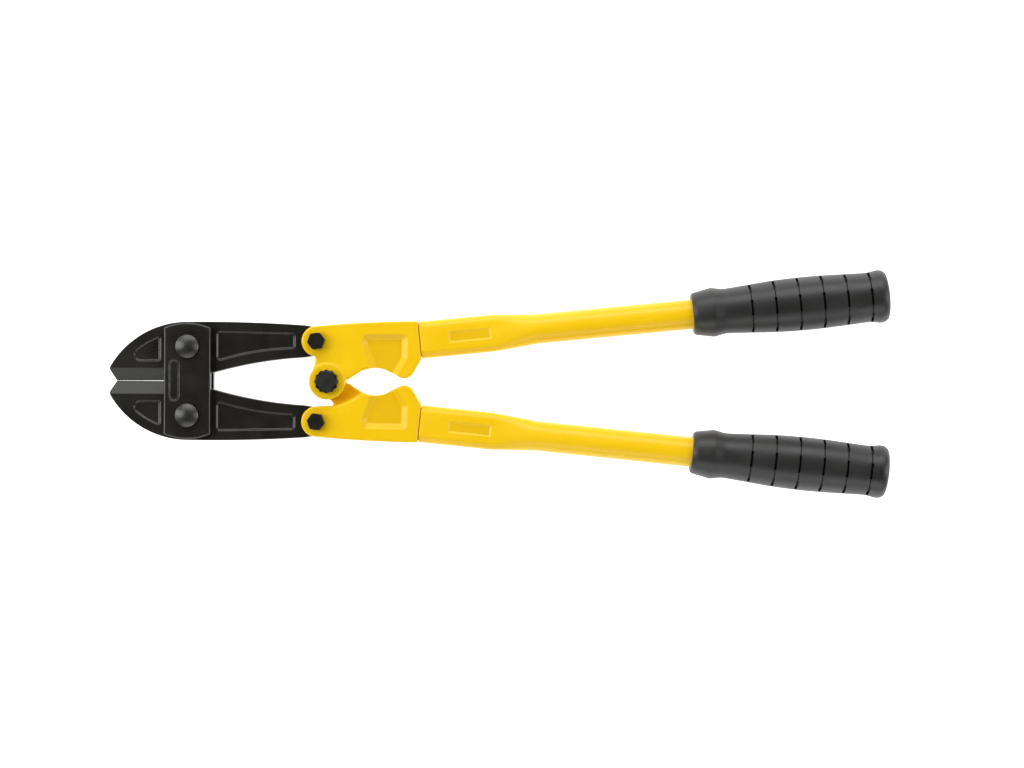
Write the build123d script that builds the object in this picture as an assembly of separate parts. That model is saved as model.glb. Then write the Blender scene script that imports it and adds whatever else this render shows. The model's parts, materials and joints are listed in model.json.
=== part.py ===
"""Bolt cutters with compound handles: every loose piece is its own solid, written to parts/.

Frame: the tool lies flat, +X runs from the jaws to the grips, +Y to the upper handle, +Z up.
The origin is the middle of the tool's outline, on the surface that it lies on. Pieces are shaped about
the middle plane of the tool and lifted by MID_HEIGHT when they are written. The lower pieces are the
upper pieces turned over the X axis, except the heads, whose eyes overlap: the upper head has the front
half of the joint and the lower head has the rear half.
"""

import os
from math import atan2, cos, degrees, hypot, radians, sin, sqrt

from build123d import *

# Whole tool
HALF_LENGTH = 224.7  # from the origin to the jaw tips, and to the ends of the grips
MID_HEIGHT = 15.5  # the middle plane above the surface
RUNNING_GAP = 0.15  # each side, between flat faces that slide past each other
HINGE_GAP = 0.05  # each side, between a bolt and the hole that turns on it
BOLT_GAP = 0.1  # each side, between a bolt and a hole that stands still on it

# Pivots, for the upper half of the tool
JAW_BOLT_X = -179.0
JAW_BOLT_Y = 19.75
LINK_BOLT_X = -105.0
LINK_BOLT_Y = 23.1
CENTRE_BOLT_X = -99.0

# Jaws
JAW_THICK = 9.0
NOSE_X = -220.7  # where the cutting edge begins
NOSE_CHAMFER = 1.3
TIP_Y = 7.0  # height of the jaw's foremost point
BACK_CURVE_X = -179.0  # centre and radius of the jaw's rounded back
BACK_CURVE_Y = -18.63
BACK_CURVE_R = 52.67
EDGE_GAP_TIP = 0.05  # from the middle to the cutting edge, at the tip
EDGE_GAP_REAR = 0.2  # the same at the side plates, where a little light shows through
BEVEL_TOP_Y = 7.5
BEVEL_END_X = -190.0
CUTTING_EDGE_THICK = 0.8
BACK_MIDDLE_ANGLE = 122.0  # degrees, for the point halfway along the back
ARM_BACK = (-149.4, 33.95)  # corners and middles of the rear arm's curved sides, outer side first
ARM_OUTER = (-112.0, 32.3)
ARM_INNER = (-112.0, 13.8)
ARM_BELLY = (-139.0, 10.75)
CROTCH = (-163.3, 5.25)
HEEL = (-176.0, 1.7)
ARM_END_R = 8.5
ARM_END_BACK = 1.5  # how far before the link bolt the round end of the arm begins
FRONT_PANEL_BORDER = 5.2  # from the jaw's back to the front recess
FRONT_PANEL_LOW_Y = 11.2
FRONT_PANEL_REAR_X = -194.9
ARM_PANEL_FRONT_X = -162.9
ARM_PANEL_FRONT_Y = (10.9, 28.9)
ARM_PANEL_REAR_X = -117.5
ARM_PANEL_REAR_Y = (18.6, 27.9)
ARM_PANEL_BELLY = (-142.5, 16.1)
PANEL_DEPTH = 0.9
PANEL_SLOPE = 50.0  # degrees that the recess walls lean out
PANEL_CORNER_R = 2.4

# Side plates
PLATE_THICK = 5.0
PLATE_WIDTH = 26.7
PLATE_END_R = 33.2
PLATE_CHAMFER = 0.6
BADGE_LENGTH = 24.0
BADGE_WIDTH = 6.0
BADGE_LINE = 0.6
BADGE_DEPTH = 0.3
BADGE_X = -186.5
BADGE_Y = 0.4

# Jaw bolts
JAW_BOLT_R = 4.0
JAW_BOLT_HEAD_R = 6.6
JAW_BOLT_RIM = 1.2
JAW_BOLT_DOME = 2.1
JAW_BOLT_NECK = 8.0  # square neck that stops the bolt turning in the front plate
JAW_BOLT_NECK_LENGTH = 4.0
JAW_NUT_ACROSS = 13.0
JAW_NUT_THICK = 4.5
JAW_WASHER_R = 6.6

# Handle heads
HEAD_THICK = 16.0
EAR_R = 8.8
FORK_GAP_R = 11.0  # the fork is open this far round the link bolt
EYE_R = 10.45
EYE_BOSS = 0.9
EYE_CLEARANCE = 3.2  # play of the open pivot in the lower head's eye
TAPER_START_X = -86.0
HEAD_END_THICK = 10.6
HEAD_BACK = (-77.0, 34.0)  # middle of the outer edge
STOP_START = (-50.0, 4.6)  # the stop is the bump where the two handles would meet
STOP_CROWN = (-54.2, 2.0)
STOP_END = (-58.3, 3.0)
ALMOND_SHOULDER = (-65.2, 6.6)  # half of the almond-shaped opening between the heads, from right to left
ALMOND_TOP = (-72.5, 7.85)
ALMOND_CROWN = (-79.0, 6.3)
ALMOND_MIDDLE = (-83.2, 3.7)
ALMOND_CORNER = (-87.0, 1.2)
RELIEF_MIDDLE = (-88.0, 11.4)  # wall of the relief round the other head's eye
RELIEF_START = (-96.0, 13.9)
WEB_ROOT = (-75.0, 20.0)
UPPER_NECK_X = -105.9  # the neck between ear and eye
UPPER_NECK_Y = (5.0, 11.4, 15.2)
NOTCH_START = (-98.6, 10.2)  # beside the lower head's ear
NOTCH_MIDDLE = (-96.6, 11.6)
POCKET_CORNERS = ((-79.4, 22.4), (-71.1, 0), (-61.0, 0), (-52.9, 13.4), (-52.9, 27.3), (-77.6, 27.1))
POCKET_CORNER_R = 1.6
POCKET_X = -66.0  # the pocket's middle, where it is as deep as POCKET_DEPTH
POCKET_DEPTH = 2.4
POCKET_SLOPE = 52.0  # degrees, of the walls off upright

# Link bolts, centre bolt
LINK_BOLT_R = 3.0
LINK_HEAD_ACROSS = 9.2
LINK_HEAD_TURN = 9.0  # degrees
LINK_HEAD_THICK = 4.5
LINK_NUT_THICK = 5.0
LINK_WASHER_R = 5.6
LINK_WASHER_THICK = 1.4
CENTRE_BOLT_R = 4.0
CENTRE_HEAD_R = 6.95
CENTRE_HEAD_THICK = 5.6
CENTRE_NUT_ACROSS = 13.0
CENTRE_NUT_THICK = 5.0
CENTRE_WASHER_R = 10.2
CENTRE_WASHER_THICK = 1.0

CENTRE_POINT_CHAMFER = (0.9, 1.6)  # height and reach of the chamfer on the twelve points

# Shank ends, nuts, washers
BOLT_END_GAP = 0.4  # from a shank's end to the outer face of its nut
BOLT_END_CHAMFER = 0.6
CORNER_RISE = 0.55  # height of a hexagon's turned corner over its reach
WASHER_SPLIT = 1.2
WASHER_SPLIT_TURN = 12.0  # degrees

# Handle tubes
TUBE_ANGLE = 5.7
JOINT_X = -46.1  # the tube's front end on its own axis
JOINT_Y = 24.1
JOINT_GAP = 0.35  # seam between the head and the tube
JOINT_LIP = 0.2  # how far the head stands proud of the tube's sides
TUBE_R = 8.6
TUBE_WALL = 1.8
FLAT_WIDTH = 21.5
FLAT_THICK = 9.8
FLAT_LENGTH = 42.0
FLARE_LENGTH = 26.0
TUBE_LENGTH = 258.0
TANG_LENGTH = 36.0
TANG_GAP = 0.15
TANG_ROOT = 6.0  # how far the tang runs back into the head
FLAT_CROWN = 0.985  # height of the pressed faces' edges over their middles
CRIMP_AT = 29.2
CRIMP_LENGTH = 25.0
CRIMP_WIDTH = 7.0
CRIMP_DEPTH = 0.6
CRIMP_SLOPE = 64.0  # degrees, of the walls off upright

# Grips
GRIP_START = 157.9  # along the tube from its front end
GRIP_LENGTH = 113.73
GRIP_MOUTH_R = 11.3
GRIP_LIP_R = 12.2
GRIP_LIP = 1.1
GRIP_RIDGE_AT = 11.4
GRIP_RIDGE_R = 14.2
GRIP_NECK_AT = 19.2
GRIP_NECK_R = 12.95
GRIP_NECK_SIDE = 0.15
GRIP_TOP_AT = 68.0
GRIP_TOP_R = 15.5
GRIP_WAIST_AT = 101.0
GRIP_WAIST_R = 14.3
GRIP_FLARE_AT = 107.8
GRIP_FLARE_R = 15.3
GRIP_END_R = 10.5
GRIP_END_DOME = 0.6
GRIP_RING_FIRST = 33.6
GRIP_RING_STEP = 13.76
GRIP_RINGS = 6
GRIP_GROOVE_WIDTH = 0.7
GRIP_GROOVE_DEPTH = 0.6
GRIP_SWELL_HALF = 46.5  # from the thickest part to where the skin is GRIP_SWELL lower
GRIP_SWELL = 2.4

HALF_JAW = JAW_THICK / 2
HALF_HEAD = HEAD_THICK / 2
PLATE_INNER = HALF_JAW + RUNNING_GAP
PLATE_OUTER = PLATE_INNER + PLATE_THICK
JAW_WASHER_THICK = MID_HEIGHT - PLATE_OUTER - JAW_NUT_THICK
EYE_FACE = HALF_HEAD + EYE_BOSS


def outline(*edges):
    """The flat face inside a closed chain of lines and arcs."""
    return make_face(Wire([edge for piece in edges for edge in piece.edges()]))


def slab(face, low, high):
    """The solid that a flat outline sweeps out between two heights."""
    return Pos(0, 0, low) * extrude(face, high - low, dir=(0, 0, 1))


def disc(x, y, radius, low, high):
    """A round solid about an upright axis, between two heights."""
    return slab(Pos(x, y) * Circle(radius), low, high)


def dome_arc(radius, low, rise):
    """Half of a shallow dome's section, from its rim up to the axis."""
    ball = (radius**2 + rise**2) / (2 * rise)
    middle = (radius / 2, low + rise - ball + sqrt(ball**2 - radius**2 / 4))
    return ThreePointArc((radius, low), middle, (0, low + rise))


def turned_over(solid):
    """The lower piece that matches an upper one."""
    return mirror(solid, about=Plane.XZ)


def recess(face, top, depth, slope):
    """What is cut away for a recess whose walls lean out from the floor to the rim."""
    sunk = extrude(Pos(0, 0, top) * face, depth, dir=(0, 0, -1), taper=slope)
    return sunk + slab(face, top, top + 2)


def hexagon_prism(x, y, across, low, high, corner_low=True, corner_high=True):
    """A hexagon, with its corners turned off at the ends that show."""
    radius = across / sqrt(3)
    prism = slab(Pos(x, y) * RegularPolygon(radius, 6), low, high)
    reach = radius - across / 2
    keep = Cylinder(radius, high - low)
    if corner_high:
        keep = chamfer(keep.edges().sort_by(Axis.Z)[-1], CORNER_RISE * reach, reach)
    if corner_low:
        keep = chamfer(keep.edges().sort_by(Axis.Z)[0], CORNER_RISE * reach, reach)
    return prism & (Pos(x, y, (low + high) / 2) * keep)


def hexagon_nut(x, y, across, bore, low, high):
    """A hexagon nut with its bore."""
    nut = hexagon_prism(x, y, across, low, high)
    return nut - disc(x, y, bore, low - 1, high + 1)


def spring_washer(x, y, radius, bore, low, high):
    """A split ring."""
    ring = disc(x, y, radius, low, high) - disc(x, y, bore, low - 1, high + 1)
    gap = Box(radius, WASHER_SPLIT, 2 * (high - low), align=(Align.MIN, Align.CENTER, Align.CENTER))
    turned_gap = Rot(0, 0, WASHER_SPLIT_TURN) * Pos(bore / 2, 0, 0) * gap
    return ring - Pos(x, y, (low + high) / 2) * turned_gap


def on_back(radius, angle):
    """A point on a curve that shares the centre of the jaw's back, at an angle in degrees."""
    turn = radians(angle)
    return BACK_CURVE_X + radius * cos(turn), BACK_CURVE_Y + radius * sin(turn)


def jaw_profile():
    """Outline of the upper jaw: nose, rounded back, rear arm, arm end, inner side, cutting edge."""
    nose = (NOSE_X, EDGE_GAP_TIP)
    tip = (-HALF_LENGTH, TIP_Y)
    back_middle = on_back(BACK_CURVE_R, BACK_MIDDLE_ANGLE)
    back_top = on_back(BACK_CURVE_R, 90)
    end_rise = sqrt(ARM_END_R**2 - ARM_END_BACK**2)
    end_outer = (LINK_BOLT_X - ARM_END_BACK, LINK_BOLT_Y + end_rise)
    end_middle = (LINK_BOLT_X + ARM_END_R, LINK_BOLT_Y)
    end_inner = (LINK_BOLT_X - ARM_END_BACK, LINK_BOLT_Y - end_rise)
    edge_rear = (BEVEL_END_X, EDGE_GAP_REAR)
    return outline(
        Line(nose, tip),
        ThreePointArc(tip, back_middle, back_top),
        ThreePointArc(back_top, ARM_BACK, ARM_OUTER),
        Line(ARM_OUTER, end_outer),
        ThreePointArc(end_outer, end_middle, end_inner),
        Line(end_inner, ARM_INNER),
        ThreePointArc(ARM_INNER, ARM_BELLY, CROTCH),
        Line(CROTCH, HEEL),
        Line(HEEL, edge_rear),
        Line(edge_rear, nose),
    )


def front_panel():
    """Outline of the recess between the back and the blade."""
    radius = BACK_CURVE_R - FRONT_PANEL_BORDER
    low_run = sqrt(radius**2 - (FRONT_PANEL_LOW_Y - BACK_CURVE_Y) ** 2)
    start = (BACK_CURVE_X - low_run, FRONT_PANEL_LOW_Y)
    rear_rise = sqrt(radius**2 - (FRONT_PANEL_REAR_X - BACK_CURVE_X) ** 2)
    finish = (FRONT_PANEL_REAR_X, BACK_CURVE_Y + rear_rise)
    corner = (FRONT_PANEL_REAR_X, FRONT_PANEL_LOW_Y)
    curve = ThreePointArc(start, on_back(radius, BACK_MIDDLE_ANGLE + 4), finish)
    face = outline(curve, Line(finish, corner), Line(corner, start))
    rear_corners = face.vertices().sort_by(Axis.X)[1:]
    face = fillet(rear_corners, PANEL_CORNER_R * 0.6)
    return fillet(face.vertices().sort_by(Axis.X)[0], PANEL_CORNER_R * 1.6)


def arm_panel():
    """Outline of the long recess in the rear arm."""
    front_inner, front_outer = [(ARM_PANEL_FRONT_X, y) for y in ARM_PANEL_FRONT_Y]
    rear_inner, rear_outer = [(ARM_PANEL_REAR_X, y) for y in ARM_PANEL_REAR_Y]
    face = outline(
        Line(front_outer, front_inner),
        ThreePointArc(front_inner, ARM_PANEL_BELLY, rear_inner),
        Line(rear_inner, rear_outer),
        Line(rear_outer, front_outer),
    )
    return fillet(face.vertices(), PANEL_CORNER_R)


def nose_chamfer():
    """What is ground off the edge of the nose, on the front face."""
    run = hypot(NOSE_X + HALF_LENGTH, TIP_Y - EDGE_GAP_TIP)
    along = Vector((NOSE_X + HALF_LENGTH) / run, (EDGE_GAP_TIP - TIP_Y) / run, 0)
    inward = Vector(-along.Y, along.X, 0)
    overrun = 4
    start = Vector(-HALF_LENGTH, TIP_Y, 0) - along * overrun
    corner = Polygon(
        (NOSE_CHAMFER, HALF_JAW),
        (NOSE_CHAMFER, HALF_JAW + 1),
        (-1, HALF_JAW + 1),
        (-1, HALF_JAW - NOSE_CHAMFER - 1),
        align=None,
    )
    face = Plane(start, x_dir=inward, z_dir=along) * corner
    return extrude(face, run + 2 * overrun, dir=along)


def make_jaw():
    """The upper jaw, with its ground blade, panels and two bolt holes."""
    jaw = slab(jaw_profile(), -HALF_JAW, HALF_JAW)
    edge_half = CUTTING_EDGE_THICK / 2
    slope = (HALF_JAW - edge_half) / (BEVEL_TOP_Y - EDGE_GAP_TIP)
    grind_face = Plane.YZ * Polygon(
        (EDGE_GAP_TIP - 1, edge_half - slope),
        (BEVEL_TOP_Y, HALF_JAW),
        (BEVEL_TOP_Y, HALF_JAW + 2),
        (EDGE_GAP_TIP - 1, HALF_JAW + 2),
        align=None,
    )
    grind_length = BEVEL_END_X + HALF_LENGTH + 1
    grind = extrude(Pos(BEVEL_END_X, 0, 0) * grind_face, grind_length, dir=(-1, 0, 0))
    jaw -= grind
    jaw -= mirror(grind, about=Plane.XY)
    for face in (front_panel(), arm_panel()):
        panel = recess(face, HALF_JAW, PANEL_DEPTH, PANEL_SLOPE)
        jaw -= panel
        jaw -= mirror(panel, about=Plane.XY)
    chamfer_cut = nose_chamfer()
    jaw -= chamfer_cut
    jaw -= mirror(chamfer_cut, about=Plane.XY)
    jaw -= disc(JAW_BOLT_X, JAW_BOLT_Y, JAW_BOLT_R + HINGE_GAP, -9, 9)
    jaw -= disc(LINK_BOLT_X, LINK_BOLT_Y, LINK_BOLT_R + HINGE_GAP, -9, 9)
    return jaw


def make_side_plate(front):
    """A side plate on the front or the rear of the jaws. The front one has a blank badge outline."""
    face = Circle(PLATE_END_R) & Rectangle(PLATE_WIDTH, 3 * PLATE_END_R)
    plate = slab(Pos(JAW_BOLT_X, 0) * face, PLATE_INNER, PLATE_OUTER)
    plate = chamfer(plate.faces().sort_by(Axis.Z)[-1].edges(), PLATE_CHAMFER)
    neck = JAW_BOLT_NECK + 2 * BOLT_GAP
    for y in (-JAW_BOLT_Y, JAW_BOLT_Y):
        if front:
            plate -= Pos(JAW_BOLT_X, y, PLATE_OUTER) * Box(neck, neck, 2 * PLATE_THICK + 4)
        else:
            plate -= disc(JAW_BOLT_X, y, JAW_BOLT_R + BOLT_GAP, 0, 20)
    if front:
        badge = SlotOverall(BADGE_LENGTH, BADGE_WIDTH)
        badge -= SlotOverall(BADGE_LENGTH - 2 * BADGE_LINE, BADGE_WIDTH - 2 * BADGE_LINE)
        badge = Pos(BADGE_X, BADGE_Y) * Rot(0, 0, 90) * badge
        return plate - slab(badge, PLATE_OUTER - BADGE_DEPTH, PLATE_OUTER + 1)
    return mirror(plate, about=Plane.XY)


def make_jaw_bolt():
    """Dome-headed bolt: low dome, square neck, plain shank."""
    rim_z = PLATE_OUTER + JAW_BOLT_RIM
    top = (0, rim_z + JAW_BOLT_DOME)
    half = outline(
        Polyline(top, (0, PLATE_OUTER), (JAW_BOLT_HEAD_R, PLATE_OUTER), (JAW_BOLT_HEAD_R, rim_z)),
        dome_arc(JAW_BOLT_HEAD_R, rim_z, JAW_BOLT_DOME),
    )
    head = revolve(Plane.XZ * half, Axis.Z)
    shank = disc(0, 0, JAW_BOLT_R, BOLT_END_GAP - MID_HEIGHT, PLATE_OUTER)
    shank = chamfer(shank.edges().sort_by(Axis.Z)[0], BOLT_END_CHAMFER)
    neck_z = PLATE_OUTER - JAW_BOLT_NECK_LENGTH / 2
    neck = Pos(0, 0, neck_z) * Box(JAW_BOLT_NECK, JAW_BOLT_NECK, JAW_BOLT_NECK_LENGTH)
    return Pos(JAW_BOLT_X, JAW_BOLT_Y) * (head + shank + neck)


def make_jaw_washer():
    """Spring washer behind the rear plate."""
    high = -PLATE_OUTER
    bore = JAW_BOLT_R + BOLT_GAP
    return spring_washer(JAW_BOLT_X, JAW_BOLT_Y, JAW_WASHER_R, bore, high - JAW_WASHER_THICK, high)


def make_jaw_nut():
    """Nut that the tool rests on."""
    low = -MID_HEIGHT
    bore = JAW_BOLT_R + BOLT_GAP / 2
    return hexagon_nut(JAW_BOLT_X, JAW_BOLT_Y, JAW_NUT_ACROSS, bore, low, low + JAW_NUT_THICK)


def joint_ends():
    """The two corners of the head where it meets the tube, outer corner first."""
    half = FLAT_WIDTH / 2 + JOINT_LIP
    across = (-sin(radians(TUBE_ANGLE)), cos(radians(TUBE_ANGLE)))
    outer = (JOINT_X + half * across[0], JOINT_Y + half * across[1])
    inner = (JOINT_X - half * across[0], JOINT_Y - half * across[1])
    return outer, inner


def head_core():
    """Outline that every layer of the head shares: ear, outer edge, stop, almond and relief wall."""
    outer_joint, inner_joint = joint_ends()
    ear_top = (LINK_BOLT_X, LINK_BOLT_Y + EAR_R)
    ear_side = (LINK_BOLT_X - EAR_R, LINK_BOLT_Y)
    ear_bottom = (LINK_BOLT_X, LINK_BOLT_Y - EAR_R)
    return outline(
        ThreePointArc(ear_top, HEAD_BACK, outer_joint),
        Line(outer_joint, inner_joint),
        Line(inner_joint, STOP_START),
        ThreePointArc(STOP_START, STOP_CROWN, STOP_END),
        Line(STOP_END, ALMOND_SHOULDER),
        ThreePointArc(ALMOND_SHOULDER, ALMOND_TOP, ALMOND_CROWN),
        ThreePointArc(ALMOND_CROWN, RELIEF_MIDDLE, RELIEF_START),
        Line(RELIEF_START, ear_bottom),
        ThreePointArc(ear_bottom, ear_side, ear_top),
    )


def eye_web(ring_point, neck, foot, inside):
    """Outline of the half of a head that carries the eye.

    Its free edge leaves the ring at ring_point, curves through neck to foot, and runs on to a point
    inside the head.
    """
    centre = (CENTRE_BOLT_X, 0)
    web = outline(
        Line(WEB_ROOT, ALMOND_CROWN),
        ThreePointArc(ALMOND_CROWN, ALMOND_MIDDLE, ALMOND_CORNER),
        Line(ALMOND_CORNER, centre),
        Line(centre, ring_point),
        ThreePointArc(ring_point, neck, foot),
        Line(foot, inside),
        Line(inside, WEB_ROOT),
    )
    return web + Pos(CENTRE_BOLT_X, 0) * Circle(EYE_R)


def upper_web():
    """The upper head's web, whose neck runs up to the ear."""
    low, middle, high = UPPER_NECK_Y
    ring_point = (CENTRE_BOLT_X - sqrt(EYE_R**2 - low**2), low)
    inside = (UPPER_NECK_X + 3, LINK_BOLT_Y)
    return eye_web(ring_point, (UPPER_NECK_X, middle), (UPPER_NECK_X, high), inside)


def lower_web():
    """The lower head's web, which leaves a notch beside the ear."""
    inside = (RELIEF_START[0] + 6, LINK_BOLT_Y)
    return eye_web(NOTCH_START, NOTCH_MIDDLE, RELIEF_START, inside)


def head_pocket():
    """Outline of the recess in the face of the head. It runs out into the almond opening."""
    face = outline(Polyline(*POCKET_CORNERS, close=True))
    return fillet(face.vertices(), POCKET_CORNER_R)


def tube_section(width, thick):
    """A pressed tube's section: two nearly flat sides and two round ones."""
    shoulder = thick / 2 * FLAT_CROWN
    flat = (width - thick) / 2
    if width == thick:
        flat = shoulder = thick / 2 * cos(radians(45))
    corners = [(flat, shoulder), (-flat, shoulder), (-flat, -shoulder), (flat, -shoulder)]
    middles = [(0, thick / 2), (-width / 2, 0), (0, -thick / 2), (width / 2, 0)]
    ends = corners[1:] + corners[:1]
    return outline(*[ThreePointArc(*points) for points in zip(corners, middles, ends)])


def along_tube(solid):
    """Puts a piece built along +Z, with its width along X, onto the upper tube's axis."""
    along = (cos(radians(TUBE_ANGLE)), sin(radians(TUBE_ANGLE)), 0)
    across = (-sin(radians(TUBE_ANGLE)), cos(radians(TUBE_ANGLE)), 0)
    return Plane((JOINT_X, JOINT_Y, 0), x_dir=across, z_dir=along) * solid


def make_tang():
    """The head's tongue inside the tube."""
    width = FLAT_WIDTH - 2 * (TUBE_WALL + TANG_GAP)
    thick = FLAT_THICK - 2 * (TUBE_WALL + TANG_GAP)
    section = tube_section(width, thick)
    tang = extrude(section, TANG_LENGTH + TANG_ROOT, dir=(0, 0, 1))
    return along_tube(Pos(0, 0, -TANG_ROOT) * tang)


def taper_cut():
    """Wedge that thins the head from the eye to the tube."""
    beyond = JOINT_X + 9
    above = HALF_HEAD + 1
    drop = Plane.XZ * Polygon(
        (TAPER_START_X, HALF_HEAD),
        (JOINT_X, HEAD_END_THICK / 2),
        (beyond, HEAD_END_THICK / 2),
        (beyond, above),
        (TAPER_START_X, above),
        align=None,
    )
    return extrude(drop, 60, both=True)


def fork_gap():
    """Room for the jaw's arm between the two ears."""
    half_gap = HALF_JAW + RUNNING_GAP
    return disc(LINK_BOLT_X, LINK_BOLT_Y, FORK_GAP_R, -half_gap, half_gap)


def pocket_cut():
    """What is cut away for the pocket, square to the tapered face."""
    drop = HALF_HEAD - HEAD_END_THICK / 2
    run = JOINT_X - TAPER_START_X
    top = HALF_HEAD - drop * (POCKET_X - TAPER_START_X) / run
    pocket = Pos(-POCKET_X, 0, -top) * recess(head_pocket(), top, POCKET_DEPTH, POCKET_SLOPE)
    lean = degrees(atan2(drop, run))
    return Pos(POCKET_X, 0, top) * Rot(0, lean, 0) * pocket


def finish_head(solid):
    """Cuts what both heads have: taper, fork, pockets, bolt hole. Adds the tang."""
    taper = taper_cut()
    solid -= taper
    solid -= mirror(taper, about=Plane.XY)
    solid -= fork_gap()
    pocket = pocket_cut()
    solid -= pocket
    solid -= mirror(pocket, about=Plane.XY)
    solid -= disc(LINK_BOLT_X, LINK_BOLT_Y, LINK_BOLT_R + BOLT_GAP, -9, 9)
    return solid + make_tang()


def make_upper_head():
    """Upper head: its eye is the front half of the centre joint."""
    head = slab(head_core(), -HALF_HEAD, HALF_HEAD)
    head += slab(upper_web(), RUNNING_GAP, HALF_HEAD)
    head += disc(CENTRE_BOLT_X, 0, EYE_R, RUNNING_GAP, EYE_FACE)
    head = finish_head(head)
    return head - disc(CENTRE_BOLT_X, 0, CENTRE_BOLT_R + BOLT_GAP, -9, 9)


def make_lower_head():
    """Lower head: its eye is the rear half of the centre joint, with play for the open pivot."""
    head = slab(head_core(), -HALF_HEAD, HALF_HEAD)
    head += slab(lower_web(), -HALF_HEAD, -RUNNING_GAP)
    head += disc(CENTRE_BOLT_X, 0, EYE_R, -EYE_FACE, -RUNNING_GAP)
    head = finish_head(head)
    return turned_over(head - disc(CENTRE_BOLT_X, 0, CENTRE_BOLT_R + EYE_CLEARANCE, -9, 9))


def make_link_bolt():
    """Hexagon bolt through the fork."""
    top = HALF_HEAD + LINK_HEAD_THICK
    head = hexagon_prism(0, 0, LINK_HEAD_ACROSS, HALF_HEAD, top, corner_low=False)
    end = BOLT_END_GAP - HALF_HEAD - LINK_WASHER_THICK - LINK_NUT_THICK
    shank = disc(0, 0, LINK_BOLT_R, end, HALF_HEAD)
    shank = chamfer(shank.edges().sort_by(Axis.Z)[0], BOLT_END_CHAMFER)
    return Pos(LINK_BOLT_X, LINK_BOLT_Y) * (Rot(0, 0, LINK_HEAD_TURN) * head + shank)


def make_link_washer():
    """Spring washer behind the fork."""
    bore = LINK_BOLT_R + BOLT_GAP
    low = -HALF_HEAD - LINK_WASHER_THICK
    return spring_washer(LINK_BOLT_X, LINK_BOLT_Y, LINK_WASHER_R, bore, low, -HALF_HEAD)


def make_link_nut():
    """Nut on the link bolt."""
    high = -HALF_HEAD - LINK_WASHER_THICK
    bore = LINK_BOLT_R + BOLT_GAP / 2
    return hexagon_nut(LINK_BOLT_X, LINK_BOLT_Y, LINK_HEAD_ACROSS, bore, high - LINK_NUT_THICK, high)


def make_centre_bolt():
    """Twelve-pointed head and plain shank."""
    star = RegularPolygon(CENTRE_HEAD_R, 6) + Rot(0, 0, 30) * RegularPolygon(CENTRE_HEAD_R, 6)
    head = slab(star, EYE_FACE, EYE_FACE + CENTRE_HEAD_THICK)
    keep = Cylinder(CENTRE_HEAD_R, CENTRE_HEAD_THICK)
    keep = chamfer(keep.edges().sort_by(Axis.Z)[-1], *CENTRE_POINT_CHAMFER)
    head = head & (Pos(0, 0, EYE_FACE + CENTRE_HEAD_THICK / 2) * keep)
    end = BOLT_END_GAP - EYE_FACE - 2 * RUNNING_GAP - CENTRE_WASHER_THICK - CENTRE_NUT_THICK
    shank = disc(0, 0, CENTRE_BOLT_R, end, EYE_FACE)
    shank = chamfer(shank.edges().sort_by(Axis.Z)[0], BOLT_END_CHAMFER)
    return Pos(CENTRE_BOLT_X, 0) * (head + shank)


def make_centre_washer():
    """Broad washer that covers the lower eye."""
    high = -EYE_FACE - 2 * RUNNING_GAP
    low = high - CENTRE_WASHER_THICK
    washer = disc(CENTRE_BOLT_X, 0, CENTRE_WASHER_R, low, high)
    return washer - disc(CENTRE_BOLT_X, 0, CENTRE_BOLT_R + BOLT_GAP, low - 1, high + 1)


def make_centre_nut():
    """Nut on the centre bolt."""
    high = -EYE_FACE - 2 * RUNNING_GAP - CENTRE_WASHER_THICK
    bore = CENTRE_BOLT_R + BOLT_GAP / 2
    return hexagon_nut(CENTRE_BOLT_X, 0, CENTRE_NUT_ACROSS, bore, high - CENTRE_NUT_THICK, high)


def tube_shape(shrink):
    """The tube's outer shape, or its inside when shrink is the wall."""
    flat = tube_section(FLAT_WIDTH - 2 * shrink, FLAT_THICK - 2 * shrink)
    round_width = 2 * (TUBE_R - shrink)
    round_face = tube_section(round_width, round_width)
    round_start = FLAT_LENGTH + FLARE_LENGTH
    flat_part = extrude(Pos(0, 0, JOINT_GAP) * flat, FLAT_LENGTH - JOINT_GAP, dir=(0, 0, 1))
    flare = loft([Pos(0, 0, FLAT_LENGTH) * flat, Pos(0, 0, round_start) * round_face])
    straight = extrude(Pos(0, 0, round_start) * round_face, TUBE_LENGTH - round_start, dir=(0, 0, 1))
    return flat_part + flare + straight


def make_tube():
    """Steel tube, pressed flat over the head's tang and crimped on both faces."""
    tube = tube_shape(0) - tube_shape(TUBE_WALL)
    crimp = recess(Rectangle(CRIMP_LENGTH, CRIMP_WIDTH), FLAT_THICK / 2, CRIMP_DEPTH, CRIMP_SLOPE)
    for side in (-1, 1):
        tube -= Plane((0, 0, CRIMP_AT), x_dir=(0, 0, 1), z_dir=(0, side, 0)) * crimp
    return along_tube(tube)


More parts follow.
